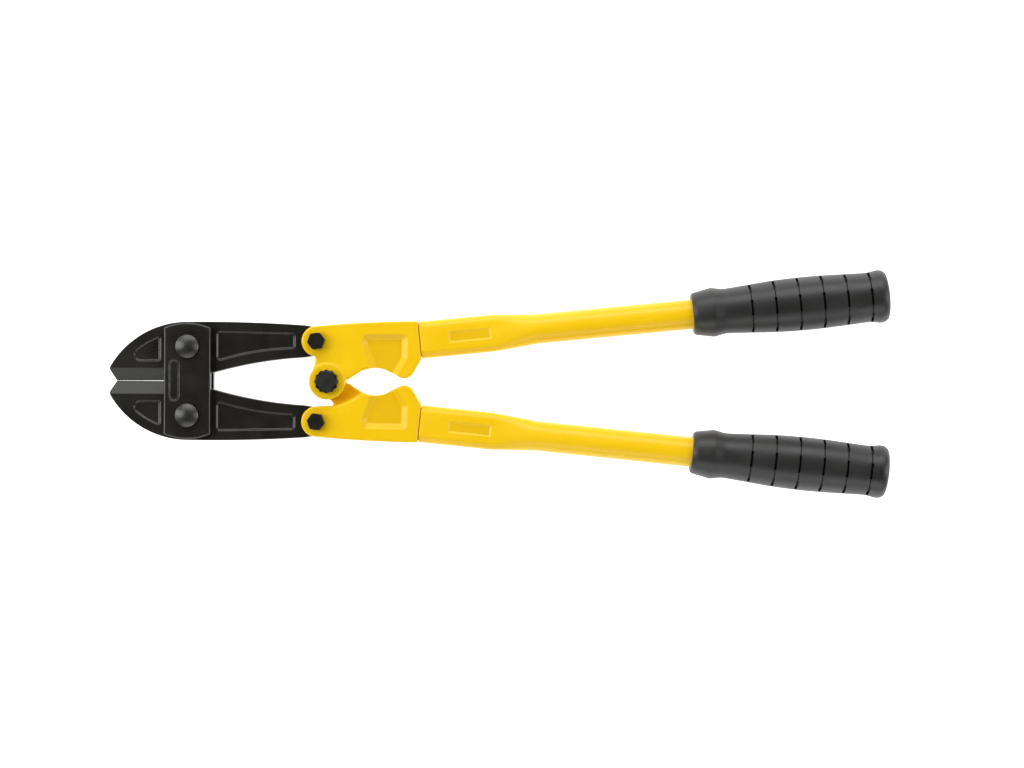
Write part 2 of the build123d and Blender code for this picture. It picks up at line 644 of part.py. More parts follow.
def grip_profile():
    """Half section of the grip, as corners and arcs in (radius, distance along), without grooves."""
    bore = TUBE_R + HINGE_GAP
    floor = GRIP_WAIST_AT
    end_rim = GRIP_LENGTH - GRIP_END_DOME
    mouth = (GRIP_MOUTH_R, 0)
    lip = (GRIP_LIP_R, GRIP_LIP)
    lip_middle = (GRIP_LIP_R - GRIP_LIP / 4, GRIP_LIP / 4)
    ridge = (GRIP_RIDGE_R, GRIP_RIDGE_AT)
    neck_start, neck_end = [(GRIP_NECK_R + GRIP_NECK_SIDE, GRIP_NECK_AT + side) for side in (-1.8, 2.3)]
    top = (GRIP_TOP_R, GRIP_TOP_AT)
    waist = (GRIP_WAIST_R, GRIP_WAIST_AT)
    waist_middle = (GRIP_WAIST_R + 0.3, GRIP_WAIST_AT + 4.5)
    flare = (GRIP_FLARE_R, GRIP_FLARE_AT)
    flare_middle = (GRIP_FLARE_R - 1.1, GRIP_FLARE_AT + 3.8)
    return outline(
        Line((bore, 0), mouth),
        ThreePointArc(mouth, lip_middle, lip),
        Line(lip, ridge),
        Line(ridge, neck_start),
        ThreePointArc(neck_start, (GRIP_NECK_R, GRIP_NECK_AT), neck_end),
        ThreePointArc(neck_end, top, waist),
        ThreePointArc(waist, waist_middle, flare),
        ThreePointArc(flare, flare_middle, (GRIP_END_R, end_rim)),
        dome_arc(GRIP_END_R, end_rim, GRIP_END_DOME),
        Polyline((0, GRIP_LENGTH), (0, floor), (bore, floor), (bore, 0)),
    )


def make_grip():
    """Moulded grip with ring grooves and a closed end."""
    grip = revolve(Plane.XZ * grip_profile(), Axis.Z)
    for number in range(GRIP_RINGS):
        at = GRIP_RING_FIRST + number * GRIP_RING_STEP
        swell = abs(at - GRIP_TOP_AT) / GRIP_SWELL_HALF
        floor = GRIP_TOP_R - GRIP_GROOVE_DEPTH - GRIP_SWELL * swell**2
        ring = Cylinder(GRIP_TOP_R + 1, GRIP_GROOVE_WIDTH) - Cylinder(floor, GRIP_GROOVE_WIDTH)
        grip -= Pos(0, 0, at) * ring
    return along_tube(Pos(0, 0, GRIP_START) * grip)


def write(name, solid):
    """Lifts a piece onto the surface and writes it."""
    lifted = Pos(0, 0, MID_HEIGHT) * solid
    export_step(lifted, f"parts/{name}.step")


def main():
    """Makes and writes every piece."""
    os.makedirs("parts", exist_ok=True)
    paired = {
        "jaw": make_jaw,
        "jaw_bolt": make_jaw_bolt,
        "jaw_bolt_washer": make_jaw_washer,
        "jaw_bolt_nut": make_jaw_nut,
        "link_bolt": make_link_bolt,
        "link_bolt_washer": make_link_washer,
        "link_bolt_nut": make_link_nut,
        "handle_tube": make_tube,
        "grip": make_grip,
    }
    for name, make in paired.items():
        piece = make()
        write(f"upper_{name}", piece)
        write(f"lower_{name}", turned_over(piece))
    write("front_side_plate", make_side_plate(front=True))
    write("rear_side_plate", make_side_plate(front=False))
    write("upper_handle_head", make_upper_head())
    write("lower_handle_head", make_lower_head())
    write("centre_bolt", make_centre_bolt())
    write("centre_bolt_washer", make_centre_washer())
    write("centre_bolt_nut", make_centre_nut())


if __name__ == "__main__":
    main()
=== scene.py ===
"""Bolt cutters: the visible model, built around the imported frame.

Everything is in metres in the frame's own axes: +X from the jaws to the grips, +Y to the upper handle,
+Z up from the surface that the tool lies on.
"""

import json
import logging
from dataclasses import dataclass
from enum import Enum
from math import atan2, cos, pi, radians, sin
from typing import Callable, Iterable, Sequence

import bpy
from mathutils import Matrix, Vector

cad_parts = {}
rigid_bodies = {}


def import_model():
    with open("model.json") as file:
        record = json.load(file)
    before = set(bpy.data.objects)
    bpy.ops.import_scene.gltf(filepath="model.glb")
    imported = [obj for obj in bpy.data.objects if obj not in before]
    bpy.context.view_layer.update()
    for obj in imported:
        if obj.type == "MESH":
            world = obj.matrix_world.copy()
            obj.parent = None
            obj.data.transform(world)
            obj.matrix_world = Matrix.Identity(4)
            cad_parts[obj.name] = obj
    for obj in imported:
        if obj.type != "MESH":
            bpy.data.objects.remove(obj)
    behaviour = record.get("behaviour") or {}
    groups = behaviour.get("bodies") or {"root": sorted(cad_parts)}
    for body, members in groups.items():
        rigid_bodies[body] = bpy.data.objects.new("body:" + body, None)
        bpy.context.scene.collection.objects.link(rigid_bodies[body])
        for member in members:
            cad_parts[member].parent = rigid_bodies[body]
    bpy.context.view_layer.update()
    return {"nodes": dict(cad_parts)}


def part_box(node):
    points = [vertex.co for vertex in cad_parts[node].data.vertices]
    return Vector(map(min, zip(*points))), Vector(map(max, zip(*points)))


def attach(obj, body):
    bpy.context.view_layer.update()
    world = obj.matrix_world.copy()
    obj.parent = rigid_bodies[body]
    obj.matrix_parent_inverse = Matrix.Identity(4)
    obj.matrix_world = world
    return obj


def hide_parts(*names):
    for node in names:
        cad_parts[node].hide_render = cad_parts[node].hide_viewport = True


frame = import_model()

log = logging.getLogger("bolt_cutters")

MM = 0.001
Colour = tuple[float, float, float]
Point = tuple[float, float, float]
Span = tuple[float, float]

MID_HEIGHT = 15.5 * MM  # the tool's middle plane above the table
LINK_BOLT = (-105.0 * MM, 23.1 * MM)  # the upper link bolt; the lower one is its mirror image
CENTRE_BOLT = (-99.0 * MM, 0.0)
TUBE_START = (-46.1 * MM, 24.1 * MM, MID_HEIGHT)  # the front end of the upper tube's axis

LEVEL = 0.97  # a face lies level when its normal's Z is past this
LEVEL_AT_RIM = 0.9  # the same for the flat face beside a rim
STEEP_AT_RIM = 0.3  # a face beside a rim is steep when its normal's Z is under this

WHOLE: Span = (0.0, 1.0)
NOISE_SPAN: Span = (0.3, 0.7)  # what a grain's shade mostly fills of its range


class Half(Enum):
    """The two matching halves of the tool, by the sign of their Y."""

    UPPER = 1
    LOWER = -1

    @property
    def word(self) -> str:
        """The half's name as it stands in node and body names."""
        return self.name.lower()


class Side(Enum):
    """The two side plates, by where they stand."""

    FRONT = "front"
    REAR = "rear"


# ---------------------------------------------------------------- bench work


def deselect_all() -> None:
    """Leaves nothing selected and no mode open."""
    active = bpy.context.view_layer.objects.active
    if active is not None and active.mode != "OBJECT":
        bpy.ops.object.mode_set(mode="OBJECT")
    for other in bpy.context.view_layer.objects:
        other.select_set(False)


def make_active(piece: bpy.types.Object) -> None:
    """Selects one piece alone and makes it active."""
    deselect_all()
    piece.select_set(True)
    bpy.context.view_layer.objects.active = piece


def in_edit_mode(piece: bpy.types.Object, work: Callable[[], None], everything: bool = True) -> None:
    """Runs operators on a piece in edit mode.

    Args:
        piece: the piece to open.
        work: calls the operators.
        everything: selects the whole mesh first.
    """
    make_active(piece)
    bpy.ops.object.mode_set(mode="EDIT")
    if everything:
        bpy.ops.mesh.select_all(action="SELECT")
    work()
    bpy.ops.object.mode_set(mode="OBJECT")


def pick_faces(piece: bpy.types.Object, wanted: Callable[[Vector, Vector], bool]) -> None:
    """Selects the faces that a test wants, and nothing else.

    Args:
        piece: the piece, in object mode.
        wanted: takes a face's centre and normal.
    """
    make_active(piece)
    bpy.ops.object.mode_set(mode="EDIT")
    bpy.ops.mesh.select_mode(type="FACE")
    bpy.ops.mesh.select_all(action="DESELECT")
    bpy.ops.object.mode_set(mode="OBJECT")
    for face in piece.data.polygons:
        face.select = wanted(face.center, face.normal)


def pick_edges(piece: bpy.types.Object, wanted: Callable[[Vector, Vector, Vector], bool]) -> None:
    """Selects the convex edges that a test wants, and nothing else.

    Args:
        piece: the piece, in object mode.
        wanted: takes an edge's middle and the normals of the two faces beside it.
    """
    make_active(piece)
    bpy.ops.object.mode_set(mode="EDIT")
    bpy.ops.mesh.select_mode(type="EDGE")
    bpy.ops.mesh.select_all(action="DESELECT")
    bpy.ops.object.mode_set(mode="OBJECT")
    beside: dict[tuple[int, int], list[bpy.types.MeshPolygon]] = {}
    for face in piece.data.polygons:
        for key in face.edge_keys:
            beside.setdefault(key, []).append(face)
    for edge in piece.data.edges:
        faces = beside.get(edge.key, [])
        if len(faces) != 2:
            continue
        ends = [piece.data.vertices[number].co for number in edge.vertices]
        middle = (ends[0] + ends[1]) / 2
        convex = (faces[1].center - middle).dot(faces[0].normal) < 0
        edge.select = convex and wanted(middle, faces[0].normal, faces[1].normal)


def on_flat_rim(first: Vector, second: Vector) -> bool:
    """Whether an edge lies between a level face and a steep one, from the two faces' normals.

    Args:
        first: the normal of one face.
        second: the normal of the other.

    Returns:
        True for the sharp rim of a level face.
    """
    flat, steep = sorted((abs(first.z), abs(second.z)), reverse=True)
    return flat >= LEVEL_AT_RIM and steep <= STEEP_AT_RIM


def apply_modifiers(piece: bpy.types.Object) -> None:
    """Applies every modifier in order.

    Args:
        piece: the piece whose modifiers are applied.
    """
    make_active(piece)
    for modifier in list(piece.modifiers):
        bpy.ops.object.modifier_apply(modifier=modifier.name)


def settle(piece: bpy.types.Object) -> None:
    """Puts the piece's place into its mesh."""
    make_active(piece)
    bpy.ops.object.transform_apply(location=True, rotation=True, scale=True)


def face_outwards(piece: bpy.types.Object) -> None:
    """Merges doubles and turns every face outwards.

    Args:
        piece: the piece, a closed shell.
    """

    def work() -> None:
        """Merges, then turns outwards."""
        bpy.ops.mesh.remove_doubles(threshold=0.002 * MM)
        bpy.ops.mesh.normals_make_consistent(inside=False)

    in_edit_mode(piece, work)


def copy_of_node(node: str, name: str) -> bpy.types.Object:
    """A free copy of a CAD solid, with its loose triangles merged into flat faces.

    Args:
        node: the CAD node.
        name: the new piece's name.

    Returns:
        The new piece, with no material.
    """
    mesh = frame["nodes"][node].data.copy()
    mesh.materials.clear()
    piece = bpy.data.objects.new(name, mesh)
    bpy.context.scene.collection.objects.link(piece)
    make_active(piece)
    bpy.ops.mesh.customdata_custom_splitnormals_clear()

    def work() -> None:
        """Merges the triangles' corners, then dissolves the edges inside flat faces."""
        bpy.ops.mesh.remove_doubles(threshold=0.004 * MM)
        bpy.ops.mesh.dissolve_limited(angle_limit=radians(0.4))

    in_edit_mode(piece, work)
    return piece


def round_forged(piece: bpy.types.Object, grain: float, passes: int) -> None:
    """Rounds a piece all over, as a hammer die leaves it.

    Args:
        piece: the piece.
        grain: the size of the new mesh's faces.
        passes: how often the surface is relaxed.
    """
    remesh = piece.modifiers.new("dies", "REMESH")
    remesh.mode = "VOXEL"
    remesh.voxel_size = grain
    relax = piece.modifiers.new("relax", "SMOOTH")
    relax.factor = 0.5
    relax.iterations = passes
    apply_modifiers(piece)
    make_active(piece)
    bpy.ops.object.shade_smooth()


def round_machined(piece: bpy.types.Object, width: float, angle: float = 24.0, segments: int = 3,
                   clamp: bool = False) -> None:
    """Rounds only the edges of a piece.

    Args:
        piece: the piece.
        width: how far the rounding reaches from each edge.
        angle: edges flatter than this, in degrees, are left.
        segments: faces across the rounding.
        clamp: keeps the rounding off its neighbours on a piece with short edges.
    """
    make_active(piece)
    bpy.ops.object.shade_smooth()
    bevel = piece.modifiers.new("edges", "BEVEL")
    bevel.width = width
    bevel.segments = segments
    bevel.limit_method = "ANGLE"
    bevel.angle_limit = radians(angle)
    bevel.use_clamp_overlap = clamp
    bevel.miter_outer = "MITER_ARC"
    bevel.harden_normals = True
    apply_modifiers(piece)


def turned_piece(name: str, profile: Sequence[tuple[float, float]], steps: int) -> bpy.types.Object:
    """A piece turned on a lathe about Z, by spinning an outline.

    Args:
        name: the new piece's name.
        profile: (radius, height) points, from one end to the other.
        steps: faces round the piece.

    Returns:
        The piece, standing at the origin.
    """
    bpy.ops.object.select_all(action="DESELECT")
    bpy.ops.mesh.primitive_plane_add(size=MM, location=(0, 0, 0))
    piece = bpy.context.object
    piece.name = name

    def start() -> None:
        """Shrinks the plane to the one point that the outline is drawn from."""
        bpy.ops.mesh.merge(type="CENTER")

    in_edit_mode(piece, start)
    piece.data.vertices[0].co = (profile[0][0], 0, profile[0][1])

    def draw() -> None:
        """Draws the outline point by point, then spins it."""
        for (radius_a, height_a), (radius_b, height_b) in zip(profile, profile[1:]):
            move = (radius_b - radius_a, 0, height_b - height_a)
            bpy.ops.mesh.extrude_vertices_move(TRANSFORM_OT_translate={"value": move})
        bpy.ops.mesh.select_all(action="SELECT")
        bpy.ops.mesh.spin(
            steps=steps, angle=2 * pi, center=(0, 0, 0), axis=(0, 0, 1), use_normal_flip=True
        )

    in_edit_mode(piece, draw)
    face_outwards(piece)
    return piece


# ------------------------------------------------------------ shader wiring


class Wiring:
    """Adds and joins the nodes of one shader tree."""

    def __init__(self, tree: bpy.types.NodeTree) -> None:
        """Keeps the tree that nodes go into."""
        self.tree = tree

    def add(self, kind: str, **settings: object) -> bpy.types.Node:
        """A new node.

        Args:
            kind: the node's type name.
            settings: properties of the node.

        Returns:
            The node.
        """
        node = self.tree.nodes.new(kind)
        for key, value in settings.items():
            setattr(node, key, value)
        return node

    def join(self, source: bpy.types.NodeSocket, target: bpy.types.NodeSocket) -> None:
        """Links two sockets."""
        self.tree.links.new(source, target)

    def feed(self, socket: bpy.types.NodeSocket, value: object) -> None:
        """Links a socket to another one, or sets it to a plain value."""
        if isinstance(value, bpy.types.NodeSocket):
            self.join(value, socket)
        else:
            socket.default_value = value

    def math(self, operation: str, *values: object, clamp: bool = False) -> bpy.types.NodeSocket:
        """A Math node on sockets or numbers.

        Args:
            operation: the node's operation.
            values: its inputs, each a socket or a number.
            clamp: keeps the result between 0 and 1.

        Returns:
            The result.
        """
        node = self.add("ShaderNodeMath", operation=operation, use_clamp=clamp)
        for socket, value in zip(node.inputs, values):
            self.feed(socket, value)
        return node.outputs[0]

    def remap(self, value: bpy.types.NodeSocket, source: tuple[object, object],
              target: tuple[object, object]) -> bpy.types.NodeSocket:
        """A Map Range node from one range to another, clamped.

        Args:
            value: the socket to map.
            source: the range that it comes from, as sockets or numbers.
            target: the range that it goes to.

        Returns:
            The result.
        """
        node = self.add("ShaderNodeMapRange", clamp=True)
        self.join(value, node.inputs["Value"])
        for name, number in zip(("From Min", "From Max", "To Min", "To Max"), (*source, *target)):
            self.feed(node.inputs[name], number)
        return node.outputs["Result"]

    def blend(self, factor: object, first: object, second: object) -> bpy.types.NodeSocket:
        """A mix of two colours.

        Args:
            factor: how much of the second colour.
            first: a socket or a colour.
            second: a socket or a colour.

        Returns:
            The mixed colour.
        """
        node = self.add("ShaderNodeMix", data_type="RGBA")
        self.feed(node.inputs["Factor"], factor)
        for socket, value in zip((node.inputs[6], node.inputs[7]), (first, second)):
            self.feed(socket, (*value, 1.0) if isinstance(value, tuple) else value)
        return node.outputs[2]

    def noise(self, vector: object, scale: object, detail: float = 3.0) -> bpy.types.NodeSocket:
        """A Noise texture's value.

        Args:
            vector: the coordinates.
            scale: the pattern's scale, a socket or a number.
            detail: how many finer layers it has.

        Returns:
            The value.
        """
        node = self.add("ShaderNodeTexNoise")
        self.feed(node.inputs["Vector"], vector)
        self.feed(node.inputs["Scale"], scale)
        node.inputs["Detail"].default_value = detail
        return node.outputs["Fac"]

    def place(self) -> bpy.types.NodeSocket:
        """The point's own place in the piece."""
        return self.add("ShaderNodeTexCoord").outputs["Object"]

    def stretched(self, vector: bpy.types.NodeSocket, scale: Point) -> bpy.types.NodeSocket:
        """Coordinates that stretch a pattern along each axis by some factor.

        Args:
            vector: the coordinates.
            scale: the factor along each axis.

        Returns:
            The new coordinates.
        """
        node = self.add("ShaderNodeMapping", vector_type="TEXTURE")
        self.join(vector, node.inputs["Vector"])
        node.inputs["Scale"].default_value = scale
        return node.outputs["Vector"]


GroupParts = tuple[bpy.types.NodeTree, Wiring, bpy.types.Node, bpy.types.Node]


def new_group(name: str, takes: dict[str, float], gives: Iterable[str]) -> GroupParts:
    """An empty node group with float sockets.

    Args:
        name: the group's name.
        takes: its inputs and their usual values.
        gives: its outputs.

    Returns:
        The group, its wiring, its input node and its output node.
    """
    tree = bpy.data.node_groups.new(name, "ShaderNodeTree")
    for label, value in takes.items():
        socket = tree.interface.new_socket(label, in_out="INPUT", socket_type="NodeSocketFloat")
        socket.default_value = value
    for label in gives:
        tree.interface.new_socket(label, in_out="OUTPUT", socket_type="NodeSocketFloat")
    wiring = Wiring(tree)
    return tree, wiring, wiring.add("NodeGroupInput"), wiring.add("NodeGroupOutput")


class Effects:
    """The surface effects that several finishes share, each built once as a node group."""

    fine_in_shade: float = 0.35
    shade_scale: float = 0.74
    broad_in_height: float = 0.4
    wear_reach: float = 0.75 * MM
    wear_samples: int = 6
    wear_patches: tuple[Span, Span] = ((0.32, 0.62), (0.25, 1.0))
    specks: Span = (0.66, 0.74)
    film_scale: float = 60.0
    film_full: float = 0.9
    film_most: float = 0.5
    streak: Point = (14.0, 1.0, 1.0)

    def __init__(self) -> None:
        """Builds every group."""
        self.grain = self._grain()
        self.edges = self._edges()
        self.dust = self._dust()
        self.lines = self._lines()

    def _grain(self) -> bpy.types.NodeTree:
        """Fine and broad unevenness, as a shade and as a height."""
        takes = {"Fine": 900.0, "Broad": 40.0}
        tree, w, taken, given = new_group("surface_grain", takes, ("Shade", "Height"))
        place = w.place()
        fine = w.noise(place, taken.outputs["Fine"], 4.0)
        broad = w.noise(place, taken.outputs["Broad"], 3.0)
        mixed = w.math("ADD", w.math("MULTIPLY", fine, self.fine_in_shade), broad)
        w.join(w.math("MULTIPLY", mixed, self.shade_scale), given.inputs["Shade"])
        raised = w.math("MULTIPLY", broad, self.broad_in_height)
        w.join(w.math("ADD", fine, raised), given.inputs["Height"])
        return tree

    def _edges(self) -> bpy.types.NodeTree:
        """Where corners are rubbed: 1 on a worn edge, 0 elsewhere."""
        takes = {"Start": 0.02, "End": 0.2, "Break": 350.0}
        tree, w, taken, given = new_group("edge_wear", takes, ("Mask",))
        bevel = w.add("ShaderNodeBevel", samples=self.wear_samples)
        bevel.inputs["Radius"].default_value = self.wear_reach
        normal = w.add("ShaderNodeNewGeometry").outputs["Normal"]
        dot = w.add("ShaderNodeVectorMath", operation="DOT_PRODUCT")
        w.join(bevel.outputs["Normal"], dot.inputs[0])
        w.join(normal, dot.inputs[1])
        turn = w.math("SUBTRACT", 1.0, dot.outputs["Value"], clamp=True)
        edge = w.remap(turn, (taken.outputs["Start"], taken.outputs["End"]), WHOLE)
        patchy = w.remap(w.noise(w.place(), taken.outputs["Break"], 3.0), *self.wear_patches)
        w.join(w.math("MULTIPLY", edge, patchy), given.inputs["Mask"])
        return tree

    def _dust(self) -> bpy.types.NodeTree:
        """Small pale specks and a thin film, as a mask."""
        tree, w, taken, given = new_group("dust", {"Size": 700.0, "Cover": 0.6}, ("Mask",))
        specks = w.remap(w.noise(w.place(), taken.outputs["Size"], 2.0), self.specks, WHOLE)
        cloud = w.noise(w.place(), self.film_scale, 4.0)
        film = w.remap(cloud, (taken.outputs["Cover"], self.film_full), (0.0, self.film_most))
        w.join(w.math("MAXIMUM", specks, film), given.inputs["Mask"])
        return tree

    def _lines(self) -> bpy.types.NodeTree:
        """Grinding lines along X, as a shade and as a height."""
        tree, w, taken, given = new_group("grinding_lines", {"Pitch": 2600.0}, ("Shade", "Height"))
        streaks = w.noise(w.stretched(w.place(), self.streak), taken.outputs["Pitch"], 3.0)
        w.join(streaks, given.inputs["Shade"])
        w.join(streaks, given.inputs["Height"])
        return tree


@dataclass(frozen=True)
class Finish:
    """A surface finish: its colours, the numbers that its shader takes, and its roughness range."""

    name: str = "plain"
    colour: Colour = (0.5, 0.5, 0.5)
    metallic: float = 0.0
    coat: float = 0.0
    coat_roughness: float = 0.1
    specular: float = 0.5
    roughness: Span = (0.4, 0.5)
    bump: float = 0.1
    bump_depth: float = 0.03 * MM

    def start(self) -> tuple[bpy.types.Material, Wiring, bpy.types.Node]:
        """A material with its shader's plain values set.

        Returns:
            The material, its wiring and its Principled node.
        """
        material = bpy.data.materials.new(self.name)
        material.use_nodes = True
        material.diffuse_color = (*self.colour, 1.0)
        w = Wiring(material.node_tree)
        shader = material.node_tree.nodes["Principled BSDF"]
        shader.inputs["Base Color"].default_value = (*self.colour, 1.0)
        shader.inputs["Metallic"].default_value = self.metallic
        shader.inputs["Coat Weight"].default_value = self.coat
        shader.inputs["Coat Roughness"].default_value = self.coat_roughness
        shader.inputs["Specular IOR Level"].default_value = self.specular
        return material, w, shader

    def group(self, w: Wiring, tree: bpy.types.NodeTree, **values: float) -> bpy.types.Node:
        """One of the shared effects, placed in this material with its own values.

        Args:
            w: the material's wiring.
            tree: the effect's node group.
            values: its inputs by name.

        Returns:
            The group's node.
        """
        node = w.add("ShaderNodeGroup", node_tree=tree)
        for label, value in values.items():
            node.inputs[label].default_value = value
        return node

    def raise_surface(self, w: Wiring, shader: bpy.types.Node, height: bpy.types.NodeSocket) -> None:
        """Feeds a height into the shader's normal, as a Bump.

        Args:
            w: the material's wiring.
            shader: its Principled node.
            height: the socket of the height.
        """
        bump = w.add("ShaderNodeBump")
        bump.inputs["Strength"].default_value = self.bump
        bump.inputs["Distance"].default_value = self.bump_depth
        w.join(height, bump.inputs["Height"])
        w.join(bump.outputs["Normal"], shader.inputs["Normal"])


@dataclass(frozen=True)
class YellowPaint(Finish):
    """Thick glossy paint on forged and drawn steel."""

    name: str = "yellow_paint"
    colour: Colour = (0.95, 0.60, 0.004)
    deep: Colour = (0.90, 0.55, 0.003)
    coat: float = 0.12
    coat_roughness: float = 0.22
    specular: float = 0.3
    roughness: Span = (0.32, 0.44)
    bump: float = 0.35
    drift: Span = (0.35, 0.65)

    def build(self, effects: Effects) -> bpy.types.Material:
        """The material: slight orange peel, a broad drift of shade, roughness that varies.

        Args:
            effects: the shared effects.

        Returns:
            The material.
        """
        material, w, shader = self.start()
        grain = self.group(w, effects.grain, Fine=420.0, Broad=28.0)
        tone = w.remap(grain.outputs["Shade"], self.drift, WHOLE)
        w.join(w.blend(tone, self.deep, self.colour), shader.inputs["Base Color"])
        w.join(w.remap(grain.outputs["Shade"], NOISE_SPAN, self.roughness), shader.inputs["Roughness"])
        self.raise_surface(w, shader, grain.outputs["Height"])
        return material


@dataclass(frozen=True)
class BlackForging(Finish):
    """Black oxide on forged steel: satin, with corners rubbed grey."""

    name: str = "black_forging"
    colour: Colour = (0.0062, 0.0055, 0.0042)
    rubbed: Colour = (0.15, 0.145, 0.135)
    pale: Colour = (0.0125, 0.0112, 0.0088)
    specular: float = 0.6
    roughness: Span = (0.25, 0.35)
    bump: float = 0.3
    bump_depth: float = 0.05 * MM
    dust_share: float = 0.15

    def build(self, effects: Effects) -> bpy.types.Material:
        """The material: scale grain, rubbed corners, thin dust.

        Args:
            effects: the shared effects.

        Returns:
            The material.
        """
        material, w, shader = self.start()
        grain = self.group(w, effects.grain, Fine=1500.0, Broad=70.0)
        wear = self.group(w, effects.edges, Start=0.015, End=0.16, Break=420.0)
        dust = self.group(w, effects.dust, Size=2600.0, Cover=0.58)
        tone = w.remap(grain.outputs["Shade"], NOISE_SPAN, WHOLE)
        base = w.blend(tone, self.colour, self.pale)
        mask = w.math("MULTIPLY", dust.outputs["Mask"], self.dust_share)
        dusty = w.blend(mask, base, self.rubbed)
        w.join(w.blend(wear.outputs["Mask"], dusty, self.rubbed), shader.inputs["Base Color"])
        w.join(w.remap(grain.outputs["Shade"], NOISE_SPAN, self.roughness), shader.inputs["Roughness"])
        self.raise_surface(w, shader, grain.outputs["Height"])
        return material


@dataclass(frozen=True)
class GroundSteel(Finish):
    """The blades' ground faces: grey with fine lines along the edge."""

    name: str = "ground_blade"
    colour: Colour = (0.025, 0.026, 0.0225)
    bright: Colour = (0.040, 0.041, 0.036)
    rubbed: Colour = (0.2, 0.2, 0.19)
    metallic: float = 0.35
    roughness: Span = (0.34, 0.48)
    bump: float = 0.4
    bump_depth: float = 0.02 * MM
    drift: Span = (0.35, 0.65)

    def build(self, effects: Effects) -> bpy.types.Material:
        """The material: grinding lines in colour, roughness and height.

        Args:
            effects: the shared effects.

        Returns:
            The material.
        """
        material, w, shader = self.start()
        lines = self.group(w, effects.lines, Pitch=2400.0)
        wear = self.group(w, effects.edges, Start=0.02, End=0.2, Break=500.0)
        tone = w.remap(lines.outputs["Shade"], self.drift, WHOLE)
        base = w.blend(tone, self.colour, self.bright)
        w.join(w.blend(wear.outputs["Mask"], base, self.rubbed), shader.inputs["Base Color"])
        w.join(w.remap(lines.outputs["Shade"], NOISE_SPAN, self.roughness), shader.inputs["Roughness"])
        self.raise_surface(w, shader, lines.outputs["Height"])
        return material


@dataclass(frozen=True)
class TurnedBolt(Finish):
    """Blued steel, turned: faint rings about the bolt's own axis."""

    name: str = "turned_bolt"
    colour: Colour = (0.045, 0.045, 0.042)
    pale: Colour = (0.10, 0.098, 0.092)
    rubbed: Colour = (0.24, 0.24, 0.23)
    metallic: float = 0.85
    roughness: Span = (0.32, 0.46)
    bump: float = 0.25
    bump_depth: float = 0.02 * MM
    centre: Point = (0.0, 0.0, 0.0)
    ring_scale: float = 420.0
    ring_sway: float = 1.6
    ring_shade: Span = (0.75, 1.1)
    colour_span: Span = (0.2, 0.75)
    roughness_span: Span = (0.3, 0.62)

    def build(self, effects: Effects) -> bpy.types.Material:
        """The material: rings round the centre, smears, rubbed rim.

        Args:
            effects: the shared effects.

        Returns:
            The material.
        """
        material, w, shader = self.start()
        mapping = w.add("ShaderNodeMapping", vector_type="TEXTURE")
        w.join(w.place(), mapping.inputs["Vector"])
        mapping.inputs["Location"].default_value = self.centre
        rings = w.add("ShaderNodeTexWave", wave_type="RINGS", rings_direction="Z")
        w.join(mapping.outputs["Vector"], rings.inputs["Vector"])
        rings.inputs["Scale"].default_value = self.ring_scale
        rings.inputs["Distortion"].default_value = self.ring_sway
        rings.inputs["Detail"].default_value = 2.0
        grain = self.group(w, effects.grain, Fine=900.0, Broad=190.0)
        wear = self.group(w, effects.edges, Start=0.02, End=0.2, Break=300.0)
        ringed = w.remap(rings.outputs["Fac"], WHOLE, self.ring_shade)
        tone = w.math("MULTIPLY", grain.outputs["Shade"], ringed)
        shade = w.remap(tone, self.colour_span, WHOLE)
        base = w.blend(shade, self.colour, self.pale)
        w.join(w.blend(wear.outputs["Mask"], base, self.rubbed), shader.inputs["Base Color"])
        w.join(w.remap(tone, self.roughness_span, self.roughness), shader.inputs["Roughness"])
        self.raise_surface(w, shader, rings.outputs["Fac"])
        return material


@dataclass(frozen=True)
class BlackBolt(Finish):
    """Black oxide on rolled bolts, nuts and washers."""

    name: str = "black_bolt"
    colour: Colour = (0.008, 0.0072, 0.006)
    pale: Colour = (0.018, 0.0165, 0.0138)
    rubbed: Colour = (0.10, 0.095, 0.085)
    metallic: float = 0.1
    specular: float = 0.42
    roughness: Span = (0.26, 0.38)
    bump: float = 0.4
    wear_share: float = 0.7

    def build(self, effects: Effects) -> bpy.types.Material:
        """The material: oxide grain with rubbed corners.

        Args:
            effects: the shared effects.

        Returns:
            The material.
        """
        material, w, shader = self.start()
        grain = self.group(w, effects.grain, Fine=1300.0, Broad=240.0)
        wear = self.group(w, effects.edges, Start=0.02, End=0.2, Break=700.0)
        tone = w.remap(grain.outputs["Shade"], NOISE_SPAN, WHOLE)
        base = w.blend(tone, self.colour, self.pale)
        mask = w.math("MULTIPLY", wear.outputs["Mask"], self.wear_share)
        w.join(w.blend(mask, base, self.rubbed), shader.inputs["Base Color"])
        w.join(w.remap(grain.outputs["Shade"], NOISE_SPAN, self.roughness), shader.inputs["Roughness"])
        self.raise_surface(w, shader, grain.outputs["Height"])
        return material


